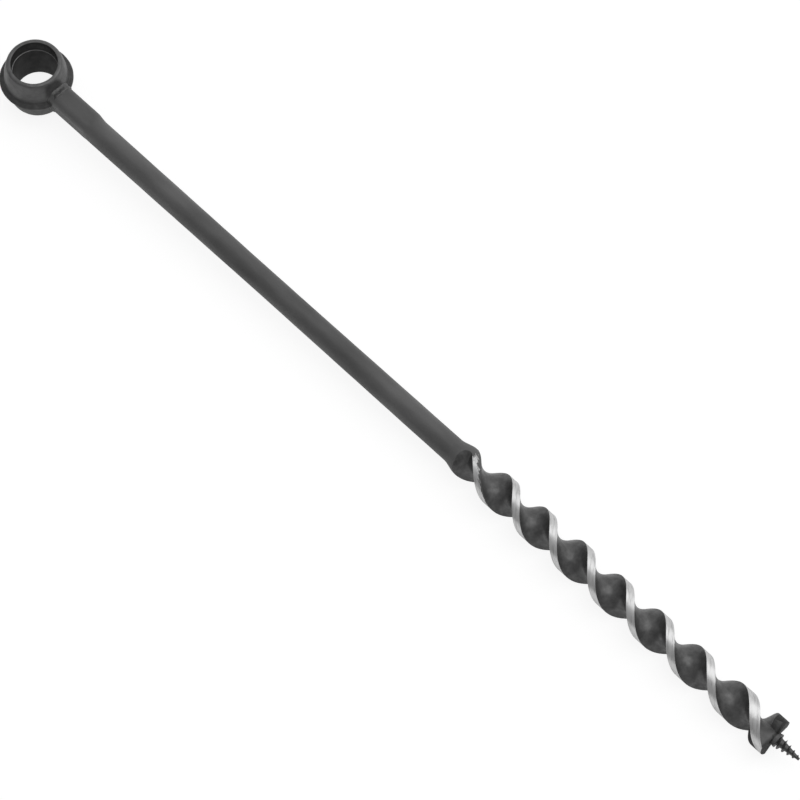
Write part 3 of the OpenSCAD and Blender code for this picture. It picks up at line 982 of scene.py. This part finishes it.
def file_away(piece, place, low, high):
    """Takes away what lies in a box with two given corners, set in a given place and turn."""
    deselect()
    bpy.ops.mesh.primitive_cube_add(size=1)
    slab = bpy.context.object
    low, high = Vector(low), Vector(high)
    slab.matrix_world = place @ shift(*((low + high) / 2)) @ Matrix.Diagonal((*(high - low), 1))
    bpy.context.view_layer.update()
    modify(piece, "BOOLEAN", object=slab, operation="DIFFERENCE", solver="EXACT")
    bpy.data.objects.remove(slab)
    bpy.ops.object.mode_set(mode="EDIT")
    bpy.ops.mesh.select_all(action="SELECT")
    bpy.ops.mesh.remove_doubles(threshold=MERGE_IN_MM)
    bpy.ops.mesh.dissolve_degenerate(threshold=SLIVER_IN_MM)
    bpy.ops.object.mode_set(mode="OBJECT")


# %% File the lips
LIP_RELIEF = 0.8 * MM
BEVEL_LEN = 0.8 * MM
BEVEL_T = 1.0 * MM
SLAB = 30 * MM
BEVEL_SLAB_LOW = (-3 * MM, 0, 0)
BEVEL_SLAB_HIGH = (6 * MM, 12 * MM, 8 * MM)
END_FACING = 0.9

corner = lead_corner(WING_LEN)
foot = lead_foot(WING_LEN)
flank_angle = math.atan2(corner[1] - foot[1], corner[0] - foot[0])
fall = math.atan2(LIP_RELIEF, corner[1] + trail_corner(WING_LEN)[1])
for half_turn in (0, math.pi):
    turn = turn_about("X", half_turn + math.radians(twist_angle(TWIST_LEN + WING_LEN)))
    wing = shift(LIP_X, 0, 0) @ turn
    relief = wing @ shift(0, 0, corner[1]) @ turn_about("Y", fall)
    file_away(wings, relief, (0, 0, -SLAB), (SLAB, SLAB, SLAB))
    bevel = wing @ shift(0, foot[0], foot[1]) @ turn_about("X", flank_angle)
    bevel = bevel @ shift(0, 0, -BEVEL_T) @ turn_about("Y", math.atan2(BEVEL_T, BEVEL_LEN))
    file_away(wings, bevel, BEVEL_SLAB_LOW, BEVEL_SLAB_HIGH)
# The end faces that look along the tool get the dark slot as painted shade.
for face in wings.data.polygons:
    if face.normal.x > END_FACING:
        face.material_index = 2
print("filed both lips:", len(wings.data.polygons), "faces")

# %% [markdown]
# ### The boss
# Between the lips the web swells into a round boss, and the lead screw grows out of it. Rings can't
# follow a form that branches, so a cone is joined to the wings by a Boolean modifier. That makes
# them one skin, as they are one piece of steel.

# %% Add the boss
BOSS_SIDES = 64
BOSS_D = 8.6 * MM
BOSS_RUN = 3 * MM

deselect()
bpy.ops.mesh.primitive_cone_add(vertices=BOSS_SIDES, radius1=WEB_T / 2, radius2=BOSS_D / 2,
                                depth=BOSS_X - LIP_X + BOSS_RUN, rotation=(0, math.pi / 2, 0),
                                location=((BOSS_X + LIP_X - BOSS_RUN) / 2, 0, 0))
boss = bpy.context.object
modify(wings, "BOOLEAN", object=boss, operation="UNION", solver="EXACT")
bpy.data.objects.remove(boss)
finish_piece(wings, "cutting_head", smooth_angle=28)

# %% [markdown]
# ## The lead screw
# The screw draws the auger into the wood. Its thread is a thin crest over a wide, hollow root, and
# both shrink towards the point. The skin is a row of rings again: at each place along the screw
# the radius depends on how far round the thread has got. A Screw modifier would keep one size of
# thread all along, and this one has to shrink.

# %% Radius of the thread
SCREW_LEN = TIP_X - BOSS_X
SCREW_D, SCREW_TIP_D = 9.0 * MM, 2.6 * MM
THREAD_DEPTH = 1.9 * MM
THREAD_PITCH = 3.2 * MM
THREAD_FLANK = 0.22
THREAD_HOLLOW = 1.5
THREAD_FADE = 0.5


def screw_radius(x, turn):
    """Radius of the screw at x metres from the boss and a share of a turn round it."""
    share = x / SCREW_LEN
    outer = mix(SCREW_D, SCREW_TIP_D, share) / 2
    depth = THREAD_DEPTH * mix(1, SCREW_TIP_D / SCREW_D, share)
    fade = min(1, min(x, SCREW_LEN - x) / THREAD_PITCH / THREAD_FADE)
    phase = x / THREAD_PITCH - turn
    off = abs(phase - round(phase))
    return outer - depth + depth * fade * max(0, 1 - off / THREAD_FLANK) ** THREAD_HOLLOW


print("thread of", round(SCREW_LEN / THREAD_PITCH, 1), "turns")

# %% Skin the lead screw
SCREW_SIDES = 72
SCREW_STEPS = 146
SPIGOT = 2 * MM


def screw_ring(x):
    ring = []
    for j in range(SCREW_SIDES):
        r = screw_radius(max(0, x), j / SCREW_SIDES)
        ring.append((BOSS_X + x, *on_circle(r, 360 * j / SCREW_SIDES)))
    return ring


# Cut, blackened and oiled: dark roots, with a glint on each crest.
screw_steel = blackened_steel("blackened_screw_steel", "#262626", "#343434", 0.4, cloud=3 * MM, ior=1.8)
screw_places = [-SPIGOT] + [SCREW_LEN * i / SCREW_STEPS for i in range(SCREW_STEPS + 1)]
screw = skin_rings("lead_screw_point", [screw_ring(x) for x in screw_places])
dress(screw, screw_steel)
finish_piece(screw, "lead_screw", smooth_angle=50)

# %% [markdown]
# ## Floor
# The tool rests on two places: the lower rim of the eye and the edge of the head. So the floor
# isn't level in the tool's own frame: it falls a little towards the eye. Its paper is white only
# where the camera or a reflection looks at it, so the lamp can stay at a plain level and the steel
# keeps its own tone.

# %% Floor
RIM_X = RIM_R - RIM_ROUND
FLOOR_TILT = math.atan2(EYE_HALF - HEAD_R, LIP_X - RIM_X)

deselect()
bpy.ops.mesh.primitive_plane_add(size=6, location=(RIM_X, 0, -EYE_HALF), rotation=(0, -FLOOR_TILT, 0))
floor = bpy.context.object
floor.name = "white_floor"
print("floor tilt", round(math.degrees(FLOOR_TILT), 3), "degrees")

# %% White paper
GLOW_IN_REFLECTION = 0.25
GLOW_TO_CAMERA = 0.86


def white_paper(name):
    """Paper that looks white to the camera and in reflections, yet takes the tool's shadow."""
    material, tree, shader = new_material(name)
    path = add_node(tree, "ShaderNodeLightPath")
    paper = add_node(tree, "ShaderNodeMix", {"data_type": "RGBA"},
                     {FIRST_COLOUR: linear("#F2F2F2"), SECOND_COLOUR: linear("#8C8C8C")},
                     {"Factor": path.outputs["Is Camera Ray"]})
    tree.links.new(paper.outputs[MIXED_COLOUR], shader.inputs["Base Color"])
    shader.inputs["Roughness"].default_value = 1.0
    shader.inputs["Specular IOR Level"].default_value = 0.0
    seen = add_node(tree, "ShaderNodeMath", {"operation": "MAXIMUM"},
                    links={0: path.outputs["Is Camera Ray"], 1: path.outputs["Is Glossy Ray"]})
    seen = add_node(tree, "ShaderNodeMath", {"operation": "MAXIMUM"},
                    links={0: seen.outputs[0], 1: path.outputs["Is Transmission Ray"]})
    strength = add_node(tree, "ShaderNodeMapRange",
                        inputs={"To Min": GLOW_IN_REFLECTION, "To Max": GLOW_TO_CAMERA},
                        links={"Value": path.outputs["Is Camera Ray"]})
    glow = add_node(tree, "ShaderNodeEmission", inputs={"Color": linear("#FFFFFF")},
                    links={"Strength": strength.outputs["Result"]})
    added = add_node(tree, "ShaderNodeAddShader",
                     links={0: shader.outputs["BSDF"], 1: glow.outputs["Emission"]})
    chosen = add_node(tree, "ShaderNodeMixShader",
                      links={0: seen.outputs[0], 1: shader.outputs["BSDF"], 2: added.outputs["Shader"]})
    tree.links.new(chosen.outputs["Shader"], tree.nodes["Material Output"].inputs["Surface"])
    return material


dress(floor, white_paper("white_paper"))
print("papered", floor.name)

# %% [markdown]
# ## World
# Round the tool stands a studio tent, bright on the far side and dark towards the viewer. Only the
# steel sees that difference, in its reflections and its shade. To the camera the tent is plain
# white.

# %% World
TENT_NEAR = (0.27, 0.27, 0.27, 1)
TENT_FAR = (0.8, 0.8, 0.8, 1)
TENT_LIGHT = 0.8

world = bpy.data.worlds.new("studio")
bpy.context.scene.world = world
world.use_nodes = True
tree = world.node_tree
direction = add_node(tree, "ShaderNodeTexCoord").outputs["Generated"]
parts = add_node(tree, "ShaderNodeSeparateXYZ", links={"Vector": direction})
far_share = add_node(tree, "ShaderNodeMapRange", inputs={"From Min": -1},
                     links={"Value": parts.outputs["Y"]})
tent = add_node(tree, "ShaderNodeMix", {"data_type": "RGBA"},
                {FIRST_COLOUR: TENT_NEAR, SECOND_COLOUR: TENT_FAR},
                {"Factor": far_share.outputs["Result"]})
path = add_node(tree, "ShaderNodeLightPath")
straight = add_node(tree, "ShaderNodeMath", {"operation": "MAXIMUM"},
                    links={0: path.outputs["Is Camera Ray"], 1: path.outputs["Is Transmission Ray"]})
seen = add_node(tree, "ShaderNodeMath", {"operation": "MAXIMUM"},
                links={0: straight.outputs[0], 1: path.outputs["Is Glossy Ray"]})
colour = add_node(tree, "ShaderNodeMix", {"data_type": "RGBA"}, {SECOND_COLOUR: linear("#FFFFFF")},
                  {"Factor": straight.outputs[0], FIRST_COLOUR: tent.outputs[MIXED_COLOUR]})
strength = add_node(tree, "ShaderNodeMapRange", inputs={"To Min": TENT_LIGHT},
                    links={"Value": seen.outputs[0]})
tree.links.new(colour.outputs[MIXED_COLOUR], tree.nodes["Background"].inputs["Color"])
tree.links.new(strength.outputs["Result"], tree.nodes["Background"].inputs["Strength"])
print("world", world.name)

# %% [markdown]
# ## Lamp
# One wide soft box hangs over the far side of the tool. Its reflection is the bright band on each
# land, and its size is what makes that band soft.

# %% Lamp
MIDDLE = (290 * MM, 0, 0)
BOX_SIZE = (2.0, 1.5)
BOX_DISTANCE = 1.6
BOX_POWER = 7.2


def soft_box(name, rise, lean):
    """A lamp aimed at the tool's middle: rise turns it from +Y up to +Z, lean moves it along +X."""
    rise, lean = math.radians(rise), math.radians(lean)
    way = Vector((math.sin(lean), math.cos(lean) * math.cos(rise), math.cos(lean) * math.sin(rise)))
    data = bpy.data.lights.new(name, "AREA")
    data.shape = "RECTANGLE"
    data.size, data.size_y = BOX_SIZE
    data.energy = BOX_POWER
    lamp = bpy.data.objects.new(name, data)
    bpy.context.collection.objects.link(lamp)
    lamp.location = Vector(MIDDLE) + way * BOX_DISTANCE
    lamp.rotation_euler = (-way).to_track_quat("-Z", "X").to_euler()
    return lamp


key = soft_box("key_soft_box", rise=70, lean=8)
print("lamp", key.name, "at", [round(side, 2) for side in key.location])

# %% [markdown]
# ## Camera
# The tool is seen through a long lens from a little over two metres, from above and from the side
# of the eye. Three directions give the camera's turn: what is right, up and forward in its
# picture, in the tool's own frame.

# %% Camera
CAMERA_PLACE = (0.947306, -0.664010, 1.977372)
RIGHT = Vector((0.71104426, 0.70314725, 0))
UP = Vector((-0.6356122, 0.64275073, 0.42763143))
FORWARD = Vector((-0.30068786, 0.30406487, -0.90395319))

camera_data = bpy.data.cameras.new("camera")
camera_data.lens = 180
camera_data.sensor_width = 36
camera_data.clip_end = 20
camera = bpy.data.objects.new("camera", camera_data)
bpy.context.collection.objects.link(camera)
camera.rotation_euler = Matrix((RIGHT, UP, -FORWARD)).transposed().to_euler()
camera.location = CAMERA_PLACE
bpy.context.scene.camera = camera
bpy.context.scene.view_settings.view_transform = "Standard"
print("camera at", [round(side, 3) for side in camera.location])

# %% [markdown]
# ## Finish
# Dressing a tool mustn't change its size. Each piece printed its own size in millimetres as it was finished.

# %% Finish
deselect()
